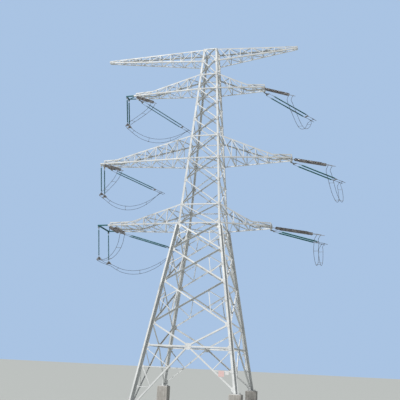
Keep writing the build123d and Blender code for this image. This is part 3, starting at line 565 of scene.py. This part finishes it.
def finish(name, clean, worn_and_highlight, metallic, rough, patch=0.8, streaks=0.4, grain=60.0, bump=0.002,
           spangle=0.0, teal_from=None, **extra):
    """A Principled material: its colour goes from clean to the second colour with the group's mask,
    and its roughness from the first to the second value of rough with it. The second colour is
    wear, and on the porcelain also painted highlights. Grain gives the bump. Where Object X is
    under teal_from, the colour is TEAL."""
    material, shader = blank_material(name)
    tree = material.node_tree
    tune(shader, Metallic=metallic, **extra)
    # The mask is wear on most finishes, and painted highlights on the porcelain.
    weather_and_highlights = add(tree, "ShaderNodeGroup", node_tree=WEATHER, Patch_Scale=patch, Streaks=streaks,
                  Grain_Scale=grain)
    shown = add(tree, "ShaderNodeMix", [(weather_and_highlights.outputs["Mask"], 0)], data_type="RGBA", A=(*clean, 1),
                B=(*worn_and_highlight, 1)).outputs["Result"]
    if spangle:
        cells = add(tree, "ShaderNodeGroup", node_tree=SPANGLE)
        share = add(tree, "ShaderNodeMapRange", [(cells.outputs["Value"], "Value")], To_Min=1 - spangle,
                    To_Max=1 + spangle)
        shown = add(tree, "ShaderNodeVectorMath", [(shown, 0), (share.outputs["Result"], 1)],
                    operation="MULTIPLY").outputs["Vector"]
    if teal_from is not None:
        x = add(tree, "ShaderNodeSeparateXYZ", [(object_place(tree), "Vector")]).outputs["X"]
        shown = add(tree, "ShaderNodeMix", [(maths(tree, "LESS_THAN", x, teal_from), 0), (shown, "A")],
                    data_type="RGBA", B=(*TEAL, 1)).outputs["Result"]
    tree.links.new(shown, shader.inputs["Base Color"])
    gloss = add(tree, "ShaderNodeMapRange", [(weather_and_highlights.outputs["Mask"], "Value")], To_Min=rough[0],
                To_Max=rough[1])
    tree.links.new(gloss.outputs["Result"], shader.inputs["Roughness"])
    relief = add(tree, "ShaderNodeBump", [(weather_and_highlights.outputs["Height"], "Height")], Strength=BUMP_STRENGTH,
                 Distance=bump)
    tree.links.new(relief.outputs["Normal"], shader.inputs["Normal"])
    return material


def zinc(name, teal_from=None):
    """Galvanised steel, with a teal end if it has one."""
    return finish(name, (0.80, 0.81, 0.80), (0.60, 0.61, 0.61), 0.2, (0.5, 0.7), spangle=0.07,
                  teal_from=teal_from)


ZINC = zinc("weathered zinc")
TEAL_ENDED = {"crossarm_left_upper": zinc("zinc, teal end up", -8.0),
              "crossarm_left_lower": zinc("zinc, teal end low", -9.12)}
HARDWARE = finish("dull forged fittings", (0.32, 0.33, 0.34), (0.17, 0.17, 0.18), 0.3, (0.45, 0.65),
                  patch=4.0)
BOLT_ZINC = finish("bolt zinc", (0.52, 0.53, 0.54), (0.36, 0.36, 0.37), 0.5, (0.35, 0.6), patch=5.0)
RUBBER = finish("teal silicone rubber", (0.004, 0.12, 0.12), (0.012, 0.18, 0.17), 0.0, (0.45, 0.7),
                patch=3.0, grain=200.0, bump=0.0005)
# Dark grey-brown glaze; the large pale patches that the mask lays on it are painted highlights on the
# discs.
GLAZE_WITH_PAINTED_HIGHLIGHTS = finish("grey-brown porcelain glaze", (0.10, 0.088, 0.085), (0.56, 0.53, 0.52), 0.0, (0.12, 0.35),
               patch=2.4, grain=30.0, bump=0.0003, Coat_Weight=0.5, Coat_Roughness=0.15)
CONCRETE = finish("cast concrete", (0.50, 0.48, 0.45), (0.33, 0.31, 0.28), 0.0, (0.85, 0.95), patch=2.5,
                  streaks=0.55, grain=45.0, bump=0.006)
WIRE = finish("stranded aluminium", (0.13, 0.13, 0.14), (0.09, 0.09, 0.10), 0.4, (0.45, 0.65), patch=1.5)
PINK_PAINT = finish("faded pink sign paint", (0.78, 0.55, 0.52), (0.70, 0.50, 0.48), 0.0, (0.4, 0.6),
                    patch=6.0)
WHITE_PAINT = finish("white sign paint", (0.80, 0.80, 0.80), (0.68, 0.68, 0.66), 0.0, (0.35, 0.55),
                     patch=6.0)
strands = add(WIRE.node_tree, "ShaderNodeGroup", node_tree=STRAND)
for node in WIRE.node_tree.nodes:
    if node.type == "BUMP":
        WIRE.node_tree.links.new(strands.outputs["Height"], node.inputs["Height"])
for wire in WIRES.values():
    wire.data.materials.append(WIRE)
print("materials:", len(bpy.data.materials))

# %% Give the CAD nodes their finish
NODE_FINISH = {"pier": CONCRETE, "sign": PINK_PAINT}
for name, node in frame["nodes"].items():
    material = TEAL_ENDED.get(name) or NODE_FINISH.get(name.split("_")[0], ZINC)
    if node.material_slots:
        for place in node.material_slots:
            place.material = material
    else:
        node.data.materials.append(material)
print("steel nodes:", sum(n.split("_")[0] not in NODE_FINISH for n in frame["nodes"]))

# %% [markdown]
# ## The strain strings
# Every phase is pulled both ways. Towards the rear each string has two long rods of glass fibre,
# dressed in thin teal sheds that alternate between wide and narrow. Towards the front it has two
# chains of porcelain discs, each hung in the iron cap of the next. A shed or a disc is a body
# turned round the string, so a profile of (distance, radius) points gives the whole string in one
# grid: the sheds of a rod are one profile, and a disc is made once and repeated.

# %% Shape the insulators
GAP = 0.25
SHEDS_FROM, SHEDS_LONG = 1.1, 4.08
DISC_PITCH, DISCS = 0.17, 24
SHED_PITCH, SHED_RADIUS, SHED_STEP, CORE_RADIUS = 0.068, 0.075, 0.012, 0.025


def shed_profile(start, long):
    """Profile of a sheathed rod: per pitch a core, a sloping shed and its underside."""
    count = int(long / SHED_PITCH)
    step = long / count
    x = start + step * np.arange(count)[:, None] + step * np.array([0.0, 0.30, 0.62, 0.70, 0.74])
    reach = np.where(np.arange(count) % 2, SHED_RADIUS - SHED_STEP, SHED_RADIUS)[:, None]
    r = np.where([False, False, True, True, False], reach, CORE_RADIUS)
    return np.vstack([np.column_stack([x.ravel(), r.ravel()]), [start + long, CORE_RADIUS]])


DISC = [(0.066, 0.042), (0.072, 0.060), (0.088, 0.100), (0.106, 0.130), (0.114, 0.135), (0.121, 0.132),
        (0.112, 0.108), (0.124, 0.100), (0.112, 0.090), (0.126, 0.080), (0.112, 0.068), (0.126, 0.056),
        (0.118, 0.030)]
CAP = [(0.0, 0.020), (0.004, 0.034), (0.018, 0.041), (0.050, 0.046), (0.074, 0.050), (0.078, 0.044),
       (0.080, 0.014), (0.172, 0.013), (0.176, 0.006)]
rod_sheds = turned(shed_profile(SHEDS_FROM, SHEDS_LONG), 14)
disc_spots = [shift(SHEDS_FROM + DISC_PITCH * i) for i in range(DISCS)]
disc_chain = repeated(turned(DISC, 20), disc_spots)
cap_chain = repeated(turned(CAP, 12), disc_spots)
for phase in PHASES:
    for line, shape, material, slot, word in (("rear", rod_sheds, RUBBER, "silicone_rubber", "rod"),
                                              ("front", disc_chain, GLAZE_WITH_PAINTED_HIGHLIGHTS, "porcelain", "disc")):
        place = STRINGS[line, phase]
        pair = joined([placed(shape, place, shift(y=s * GAP)) for s in (-1, 1)])
        piece(f"{word}s_{phase}", pair, material, [f"{word}_strings_{phase}"])

# %% [markdown]
# ## The fittings of a strain string
# From the arm outwards come a clevis on a pin, a yoke plate that splits one pull into two, two
# links, the insulators, a second yoke, and two pressed clamps with a stub for the slack wire.
# Plates are cut outlines with rounded corners, and bars and clamps are turned profiles.

# %% Shape the fittings
LINK, YOKE_DEEP, YOKE_EDGE = 0.33, 0.17, 0.04
LUG_HALF, CHEEK_WIDE, CHEEK_THICK, YOKE_THICK = 0.0105, 0.09, 0.014, 0.018
PIN_RADIUS, LINK_RADIUS, BARREL_RADIUS, STUB_RADIUS = 0.016, 0.022, 0.023, 0.021
SMALL_HEAD, YOKE_HEAD, PIN_HEAD = (0.024, 0.012), (0.036, 0.016), (0.045, 0.011)
SHEDS_TO = SHEDS_FROM + SHEDS_LONG
TAIL = SHEDS_TO + YOKE_DEEP
GRIP_FROM = 5.8
X_TO_Y = placing((0, 1, 0), (-1, 0, 0), (0, 0, 1))
X_TO_Z = placing((0, 0, 1), (0, 1, 0), (-1, 0, 0))
FLAT_TO_XZ = placing((1, 0, 0), (0, 0, 1), (0, -1, 0))


def hexagon(wide, tall):
    """A bolt head along X: a ring of six points, as a profile with a small chamfer."""
    r = wide / 2 / math.cos(math.pi / 6)
    return turned([(0, r), (tall * 0.8, r), (tall, r * 0.88)], 6)


def eye_bar(start, end, radius):
    """A turned bar with a thicker eye at both ends."""
    n = min(0.07, (end - start) / 4)
    return turned([(start, radius * 0.7), (start + n * 0.3, radius), (start + n, radius),
                   (start + n * 1.4, radius * 0.6), (end - n * 1.4, radius * 0.6), (end - n, radius),
                   (end - n * 0.3, radius), (end, radius * 0.7)], 10)


def clevis(reach):
    """Two rounded cheeks either side of a lug, and the pin through them with its head."""
    half = CHEEK_WIDE / 2
    cheek = placed(cut_plate(rounded(mirrored([(-0.05, half), (reach, half)]), half * 0.95, 6),
                             CHEEK_THICK), FLAT_TO_XZ)
    y = LUG_HALF + CHEEK_THICK / 2
    out = LUG_HALF + CHEEK_THICK
    pin = placed(turned([(-out - 0.012, PIN_RADIUS), (out + 0.012, PIN_RADIUS)], 12), X_TO_Y)
    head = placed(hexagon(*PIN_HEAD), X_TO_Y, shift(out))
    return [placed(cheek, shift(y=y)), placed(cheek, shift(y=-y)), pin, head]


def clamp(side):
    """A pressed clamp: barrel with shoulders, the pad of its stub and the stub down to the wire."""
    y = side * WIRE_GAP
    barrel = turned([(TAIL + YOKE_DEEP - 0.07, 0.012), (TAIL + YOKE_DEEP - 0.04, BARREL_RADIUS),
                     (TAIL + 0.23, BARREL_RADIUS), (TAIL + 0.26, 0.015), (GRIP_FROM, 0.015),
                     (GRIP_FROM + 0.04, 0.024), (STRING_LENGTH - 0.03, 0.024), (STRING_LENGTH, 0.019)], 12)
    stub = swept([(STUB_AT - STUB_BACK * n, y, -STUB_DOWN * n) for n in (0, 0.5, 1)], STUB_RADIUS, 10)
    pad = cut_plate(rounded(mirrored([(-0.10, 0.03), (0.10, 0.03)]), 0.02), 0.05)
    bolts = [placed(hexagon(*SMALL_HEAD), shift(STUB_AT + dx, y, 0.025), X_TO_Z) for dx in (-0.05, 0.05)]
    return [placed(barrel, shift(y=y)), stub, placed(pad, shift(STUB_AT, y)), *bolts]


def string_fittings(discs):
    """Every metal part of one strain string, in the string's own axes."""
    wide, narrow = GAP + YOKE_EDGE, WIRE_GAP + YOKE_EDGE
    head = LINK + YOKE_DEEP
    neck, tail_end = LINK - 0.11, TAIL + YOKE_DEEP
    shapes = clevis(LINK)
    for edge, corner in (([(neck, 0.045), (head - YOKE_EDGE, wide), (head, wide)], 0.02),
                         ([(TAIL, wide), (TAIL + YOKE_EDGE, wide), (tail_end, narrow)], 0.018)):
        shapes.append(cut_plate(rounded(mirrored(edge), corner), YOKE_THICK))
    chain = [eye_bar(head - 0.05, SHEDS_FROM + 0.01, LINK_RADIUS),
             eye_bar(SHEDS_TO - 0.01, TAIL + 0.05, LINK_RADIUS)]
    if discs:
        chain.append(cap_chain)
    else:
        collar = turned([(0, 0.024), (0.01, 0.031), (0.13, 0.031), (0.15, 0.023)], 12)
        chain += [placed(collar, shift(x)) for x in (SHEDS_FROM - 0.13, SHEDS_TO - 0.02)]
    for s in (-1, 1):
        shapes += [placed(shape, shift(y=s * GAP)) for shape in chain]
        shapes += [placed(hexagon(*YOKE_HEAD), shift(x, s * y, YOKE_THICK / 2), X_TO_Z)
                   for x, y in ((head - 0.03, GAP), (TAIL + 0.03, GAP), (tail_end - 0.04, WIRE_GAP))]
        shapes += clamp(s)
    return joined(shapes)


for line, discs in (("rear", False), ("front", True)):
    shape = string_fittings(discs)
    for phase in PHASES:
        piece(f"fittings_{line}_{phase}", placed(shape, STRINGS[line, phase]), HARDWARE)

# %% [markdown]
# ## The hanging strings
# A hanging string is the same sheathed rod, turned so that it runs down. At its foot a broad plate
# holds the two slack wires, and two round weights on its stem keep it from swinging.

# %% Shape the hanging strings
DOWN = placing((0, 0, -1), (0, 1, 0), (1, 0, 0))
X_TO_BACK = placing((0, -1, 0), (1, 0, 0), (0, 0, 1))
HANG_FROM, HANG_SHEDS, HANG_PLATE = 0.26, 2.5, 2.88
WEIGHT_RADIUS, WEIGHT_TALL, WEIGHT_DROPS = 0.095, 0.045, (0.06, 0.13)


def hanging_fittings():
    """Clevis, eyes, plate, weights and bolts of a hanging string, with Z along it."""
    shapes = [placed(shape, DOWN) for shape in clevis(0.16)]
    shapes += [placed(eye_bar(start, end, LINK_RADIUS), DOWN)
               for start, end in ((0.12, HANG_FROM + 0.02),
                                  (HANG_FROM + HANG_SHEDS - 0.02, HANG_PLATE + 0.03))]
    w = WIRE_GAP + YOKE_EDGE
    outline = [(0.03, -HANG_PLATE), (-0.03, -HANG_PLATE), (-w, -HANG_LENGTH + 0.09), (-w, -HANG_LENGTH),
               (w, -HANG_LENGTH), (w, -HANG_LENGTH + 0.09)]
    shapes.append(placed(cut_plate(rounded(outline, 0.012), YOKE_THICK), FLAT_TO_XZ))
    weight = [(0, WEIGHT_RADIUS - 0.008), (0.006, WEIGHT_RADIUS), (WEIGHT_TALL - 0.006, WEIGHT_RADIUS),
              (WEIGHT_TALL, WEIGHT_RADIUS - 0.008)]
    shapes += [placed(turned(weight, 20), DOWN, shift(HANG_PLATE + drop)) for drop in WEIGHT_DROPS]
    shapes += [placed(hexagon(*SMALL_HEAD), shift(x, side * YOKE_THICK / 2, -HANG_LENGTH + 0.05), way)
               for x in (-0.2, -0.13, 0.13, 0.2) for side, way in ((-1, X_TO_BACK), (1, X_TO_Y))]
    return joined(shapes)


hanging_metal = hanging_fittings()
hanging_sheds = placed(turned(shed_profile(HANG_FROM, HANG_SHEDS), 14), DOWN)
for phase in HANG_PINS:
    pair = [HANGERS[phase, row] for row in (-1, 1)]
    piece(f"hanging_sheds_{phase}", repeated(hanging_sheds, pair), RUBBER,
          [f"hanging_strings_{phase}"])
    piece(f"hanging_fittings_{phase}", repeated(hanging_metal, pair), HARDWARE)

# %% [markdown]
# ## Clamps and spacers on the slack wires
# The two wires of a phase are kept apart by short spacer bars, and clamps hold them under the
# plates. These parts have to follow the wire as it is drawn, so they read its own line: a sleeve is
# a ring carried along the stretch of wire near a point, thick in the middle and thin at its ends.

# %% Set the spacers
SPACERS = {"left_upper": (0.13, 0.30, 0.52, 0.66, 0.84), "left_middle": (0.12, 0.28, 0.54, 0.68, 0.86),
           "left_lower": (0.10, 0.24, 0.40, 0.60, 0.74, 0.88), "right_upper": (0.18, 0.42, 0.66, 0.88),
           "right_middle": (0.16, 0.40, 0.64, 0.88), "right_lower": (0.16, 0.40, 0.64, 0.88)}
SPACER_SLEEVE, PLATE_SLEEVE = (0.06, 0.030), (0.13, 0.032)


def points_at(line, runs):
    """The points of a line at some distances along it."""
    known = run_along(line)
    return np.column_stack([np.interp(runs, known, line[:, k]) for k in range(3)])


def sleeve(line, centre, half, radius):
    """A body round a wire: rings along its line within half of centre, which thin out towards its
    ends by the root of 1 - (0.8 share) squared."""
    nearest = run_along(line)[np.argmin(np.linalg.norm(line - centre, axis=1))]
    share = np.linspace(-1, 1, 9)
    return swept(points_at(line, nearest + share * half), radius * np.sqrt(1 - (0.8 * share) ** 2), 10)


for phase in PHASES:
    outer, inner = LINES_OF[phase, "outer"], LINES_OF[phase, "inner"]
    shapes = []
    for a in points_at(outer, np.array(SPACERS[phase]) * run_along(outer)[-1]):
        b = inner[np.argmin(np.linalg.norm(inner - a, axis=1))]
        shapes += [sleeve(line, end, *SPACER_SLEEVE) for line, end in ((outer, a), (inner, b))]
        bar = [a + (b - a) * share for share in (0, 0.12, 0.16, 0.84, 0.88, 1)]
        shapes.append(swept(bar, [0.018, 0.018, 0.014, 0.014, 0.018, 0.018], 8))
    piece(f"spacers_{phase}", joined(shapes), HARDWARE)
    if phase in HANG_PINS:
        held = [sleeve(line, at(HANGERS[phase, row], x, 0, -HANG_LENGTH - WIRE_RADIUS), *PLATE_SLEEVE)
                for row in (-1, 1) for line, x in ((outer, -WIRE_GAP), (inner, WIRE_GAP))]
        piece(f"wire_clamps_{phase}", joined(held), HARDWARE)

# %% [markdown]
# ## Bolts
# Hundreds of hexagon bolts hold the plates to the legs. Their heads are true to size, 30 mm across,
# so one head has only a few faces and is repeated. Each face of the tower is a flat plane that
# leans inwards, so a bolt is placed by its distance across the face and its level, on the outer
# side of the plate.

# %% Bolt the plates to the legs
WAIST, TOP, BASE_RING = 16.35, 35.04, 5.45
WAIST_HALF, TOP_HALF, BASE_HALF = 1.978, 0.693, 3.68
CAGE_SLOPE = (WAIST_HALF - TOP_HALF) / (TOP - WAIST)
BODY_SLOPE = (BASE_HALF - WAIST_HALF) / (WAIST - BASE_RING)
PLATE, WASHER = 0.014, 0.003
CAGE_LEVELS = (18.25, 20.68, 22.93, 25.25, 27.04, 28.77, 30.44, 32.05, 33.62)
BODY_LEVELS = (7.33, 11.0, 13.94)
CAGE_END, BODY_END = 0.19, 0.235
LEG_HEAD, LEG_WIDE = (0.030, 0.013), 0.019


def half_width(z):
    """Half the body's width at level z: two straight slopes that meet at the waist."""
    return WAIST_HALF - CAGE_SLOPE * (z - WAIST) if z >= WAIST else WAIST_HALF + BODY_SLOPE * (WAIST - z)


def on_face(face, across, z, lift):
    """A placing on face 0 to 3: X out of it, at a distance across, a level, and a height off it."""
    slope = CAGE_SLOPE if z >= WAIST else BODY_SLOPE
    out = np.array([0, -1, slope]) / math.hypot(1, slope)
    upward = np.array([0, slope, 1]) / math.hypot(1, slope)
    place = placing(out, np.cross(upward, out), upward, np.array([across, -half_width(z), z]) + out * lift)
    c, s = math.cos(face * math.pi / 2), math.sin(face * math.pi / 2)
    return placing((c, s, 0), (-s, c, 0), (0, 0, 1)) @ place


def leg_bolts(levels, reach, rise):
    """Places of two columns of three bolts on both legs of each face at each level."""
    return [on_face(face, side * (half_width(z + dz) - inset), z + dz, PLATE)
            for face in range(4) for z in levels for side in (-1, 1)
            for inset in reach for dz in (-rise, 0, rise)]


def crossings(levels):
    """The level where the two diagonals cross, for each panel between two levels."""
    return [low + (high - low) * half_width(low) / (half_width(low) + half_width(high))
            for low, high in zip(levels[:-1], levels[1:])]


body, cage = BODY_LEVELS + (WAIST,), (WAIST,) + CAGE_LEVELS + (TOP,)
places = leg_bolts(CAGE_LEVELS + (WAIST + CAGE_END, TOP - CAGE_END), (0.05, 0.13), 0.12)
places += leg_bolts(BODY_LEVELS + (BASE_RING, WAIST - BODY_END), (0.05, 0.15), 0.15)
places += leg_bolts(crossings(body), (0.06, 0.14), 0.05)
for levels, thick in ((cage, 0.008), (body, 0.010)):
    places += [on_face(face, 0, z, PLATE + thick) for z in crossings(levels) for face in range(4)]
places += [on_face(face, x, BASE_RING + y, PLATE)
           for face in range(4) for x in (-0.2, -0.1, 0.1, 0.2) for y in (-0.13, 0.0)]
bolt = joined([turned([(0, LEG_WIDE), (WASHER, LEG_WIDE)], 10), placed(hexagon(*LEG_HEAD), shift(WASHER))])
piece("leg_bolts", repeated(bolt, places), BOLT_ZINC)
print("bolts:", len(places))

# %% [markdown]
# ## Feet
# Each leg stands on a cast pier with a chamfered edge, held down by four anchor bolts with their
# nuts. The pier of the model is a plain block, so a cast one takes its place: rings of a square
# with cut corners, drawn in at the top edge and rounded with a bevel.

# %% Cast the piers and set the anchors
FEET = {"front_left": (-1, -1, 0.3), "front_right": (1, -1, 1.95), "rear_right": (1, 1, 1.95),
        "rear_left": (-1, 1, 1.95)}
BASE_PLATE_THICK, PIER_HALF, CUT = 0.04, 0.5, 0.03
ANCHOR_OUT, ANCHOR_WIDE, ANCHOR_WASHER, ANCHOR_NUT = 0.29, 0.045, 0.006, (0.055, 0.030)
BEVEL_WIDTH = 0.008


def pier_ring(half, z):
    """A square with cut corners at one level: eight points."""
    c = half - CUT
    return [(half, -c, z), (half, c, z), (c, half, z), (-c, half, z), (-half, c, z), (-half, -c, z),
            (-c, -half, z), (c, -half, z)]


anchor = placed(joined([turned([(0, ANCHOR_WIDE), (ANCHOR_WASHER, ANCHOR_WIDE)], 14),
                        placed(hexagon(*ANCHOR_NUT), shift(ANCHOR_WASHER)),
                        turned([(0, 0.018), (0.098, 0.018), (0.102, 0.014)], 12)]), X_TO_Z)
spots = []
for corner, (sx, sy, foot) in FEET.items():
    h, top = half_width(foot), foot - BASE_PLATE_THICK
    levels = [(PIER_HALF, 0.0), (PIER_HALF, top - CUT), (PIER_HALF - CUT, top)]
    block = rings_shape(np.array([pier_ring(half, z) for half, z in levels]))
    made = piece(f"cast_pier_{corner}", placed(block, shift(sx * h, sy * h)), CONCRETE,
                 [f"pier_{corner}"])
    bevel = made.modifiers.new("edges", "BEVEL")
    bevel.width, bevel.segments, bevel.limit_method = BEVEL_WIDTH, 2, "ANGLE"
    spots += [shift(sx * h + dx, sy * h + dy, foot) for dx in (-ANCHOR_OUT, ANCHOR_OUT)
              for dy in (-ANCHOR_OUT, ANCHOR_OUT)]
piece("anchor_bolts", repeated(anchor, spots), BOLT_ZINC)

# %% [markdown]
# ## Sign plates
# Two bare plates hang on a tie of the front right leg, a larger faded pink one and a smaller white
# one. They are thin sheets with rounded corners, so one outline cut at two sizes does for both.

# %% Cut the sign plates
SIGN_THICK, SIGN_LEVEL, SIGN_CORNER = 0.004, 3.61, 0.025
FLAT_TO_YZ = placing((0, 1, 0), (0, 0, 1), (1, 0, 0))
for x, size, material, name, replaced in ((2.95, 0.46, PINK_PAINT, "pink_sign", ["sign_plates"]),
                                          (3.42, 0.29, WHITE_PAINT, "white_sign", [])):
    half = size / 2
    outline = rounded(mirrored([(-half, half), (half, half)]), SIGN_CORNER, 5)
    place = on_face(0, x, SIGN_LEVEL + (0.03 - half) / math.hypot(1, BODY_SLOPE), SIGN_THICK / 2)
    piece(name, placed(cut_plate(outline, SIGN_THICK), place, FLAT_TO_YZ), material, replaced)

# %% [markdown]
# ## Floor and light
# The tower stands on a plain pale floor under a soft, bright sky. One broad sun gives the steel its
# light and dark sides, and the world fills the shadows. The camera sees the world in one even pale
# blue, so that the bright bars of the lattice stand out against it.

# %% Light the tower
FLOOR_HALF = 400.0
FLOOR_GREY = (0.50, 0.52, 0.50)
SKY_BLUE, SKY_LIGHT = (0.40, 0.55, 0.77), (0.86, 0.93, 1.0)
SUN_COLOUR, SUN_AWAY = (1.0, 0.99, 0.98), 60


def plain_floor():
    """A level pale square that carries the tower's shadow."""
    grid = np.array([(-1, -1, 0), (1, -1, 0), (1, 1, 0), (-1, 1, 0)], float) * FLOOR_HALF
    mesh = bpy.data.meshes.new("floor")
    mesh.from_pydata(grid.tolist(), [], [(0, 1, 2, 3)])
    made = new_object("floor", mesh)
    material, shader = blank_material("pale floor")
    tune(shader, Base_Color=(*FLOOR_GREY, 1), Roughness=0.9)
    mesh.materials.append(material)


def sky(strength, seen):
    """A world whose light has one strength, and which shows the pale blue at another."""
    world = bpy.data.worlds.new("sky")
    world.use_nodes = True
    tree = world.node_tree
    light = tune(tree.nodes["Background"], Color=(*SKY_LIGHT, 1), Strength=strength)
    shown = add(tree, "ShaderNodeBackground", Color=(*SKY_BLUE, 1), Strength=seen)
    rays = add(tree, "ShaderNodeLightPath")
    mixed = add(tree, "ShaderNodeMixShader", [(rays.outputs["Is Camera Ray"], 0), (light.outputs[0], 1),
                                              (shown.outputs[0], 2)])
    tree.links.new(mixed.outputs[0], tree.nodes["World Output"].inputs["Surface"])
    bpy.context.scene.world = world


def sun(strength, azimuth, elevation, angle):
    """A sun lamp that shines from an azimuth, counted from +X towards +Y, and an elevation."""
    lamp = bpy.data.lights.new("sun", "SUN")
    lamp.energy, lamp.angle, lamp.color = strength, math.radians(angle), SUN_COLOUR
    a, e = math.radians(azimuth), math.radians(elevation)
    back = np.array([math.cos(a) * math.cos(e), math.sin(a) * math.cos(e), math.sin(e)])
    side = np.array([-math.sin(a), math.cos(a), 0])
    place = placing(side, np.cross(back, side), back, back * SUN_AWAY)
    new_object("sun", lamp).matrix_world = Matrix(place.tolist())


plain_floor()
sky(0.26, 1.0)
sun(3.5, -138, 46, 3)
bpy.context.scene.view_settings.view_transform = "Standard"
print("lamps:", len(bpy.data.lights))
